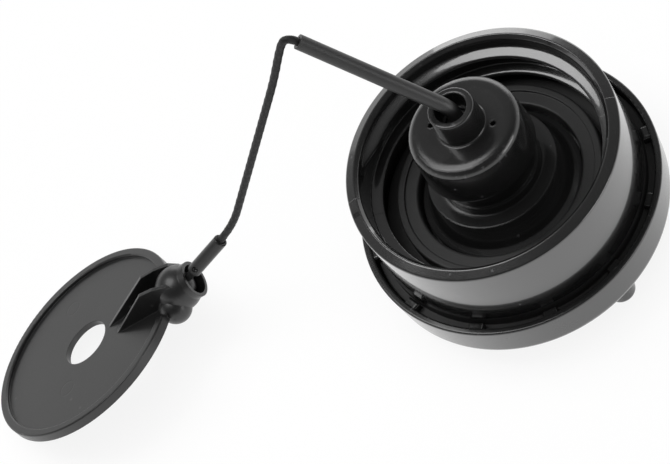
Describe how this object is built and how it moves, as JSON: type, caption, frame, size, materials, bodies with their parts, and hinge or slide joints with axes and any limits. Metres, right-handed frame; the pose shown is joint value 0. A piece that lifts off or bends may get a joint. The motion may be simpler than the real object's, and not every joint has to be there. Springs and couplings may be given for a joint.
{
  "type": "fuel cap",
  "caption": "Screw fuel cap with ratcheting grip cover, internally threaded cup, neck gasket, sprung vent plug and a cord tether ending in a ball-jointed retaining disc.",
  "frame": {"origin": "on the cap axis at the face of the neck gasket, where the filler neck seats", "axes": "+Z along the cap axis out of the open end, Y along the bar grip"},
  "size_m": [0.1595, 0.1364, 0.0916],
  "materials": {
    "cover": "semi-gloss moulded",
    "cup": "semi-gloss moulded",
    "plug": "gloss with fine grain on the sides",
    "gasket": "matte rubber",
    "seal": "matte rubber",
    "valve": "natural moulded",
    "spring": "drawn wire",
    "ratchet": "natural moulded",
    "sleeve": "satin",
    "cord": "fine braid",
    "ferrule": "satin dark",
    "ball": "satin moulded",
    "disc": "matte moulded"
  },
  "bodies": {
    "cup": {"threaded_cup": "cup", "neck_gasket": "gasket", "vent_housing": "plug", "spring_retainer": "valve", "valve_spring": "spring"},
    "cover": {"outer_cover": "cover", "ratchet_ring": "ratchet"},
    "valve": {"valve_seal": "seal", "valve_plate": "valve"},
    "tether": {"tether_anchor": "sleeve", "tether_sleeve": "sleeve", "tether_cord": "cord", "tether_ferrule": "ferrule"},
    "stud": {"ball_stud": "ball"},
    "disc": {"retaining_disc": "disc"}
  },
  "joints": [
    {"name": "ratchet_turn", "type": "hinge", "parent": "cup", "child": "cover", "pos_m": [0, 0, 0], "axis": [0, 0, 1], "range_deg": [0, 360]},
    {"name": "vent_lift", "type": "slide", "parent": "cup", "child": "valve", "axis": [0, 0, -1], "range_m": [0, 0.002], "stiffness_N_per_m": 150, "springref_m": -0.002, "deforming": ["valve_spring"]},
    {"name": "tether_swivel", "type": "hinge", "parent": "cup", "child": "tether", "pos_m": [0, 0, 0.0294], "axis": [0, 0, 1], "continuous": true},
    {"name": "stud_turn", "type": "hinge", "parent": "tether", "child": "stud", "pos_m": [-0.06777, 0.05423, -0.00144], "axis": [0.7024, -0.4371, 0.5618], "continuous": true},
    {"name": "disc_tilt", "type": "hinge", "parent": "stud", "child": "disc", "pos_m": [-0.06777, 0.05423, -0.00144], "axis": [0.6058, 0.7473, -0.273], "range_deg": [-45, 7]}
  ]
}
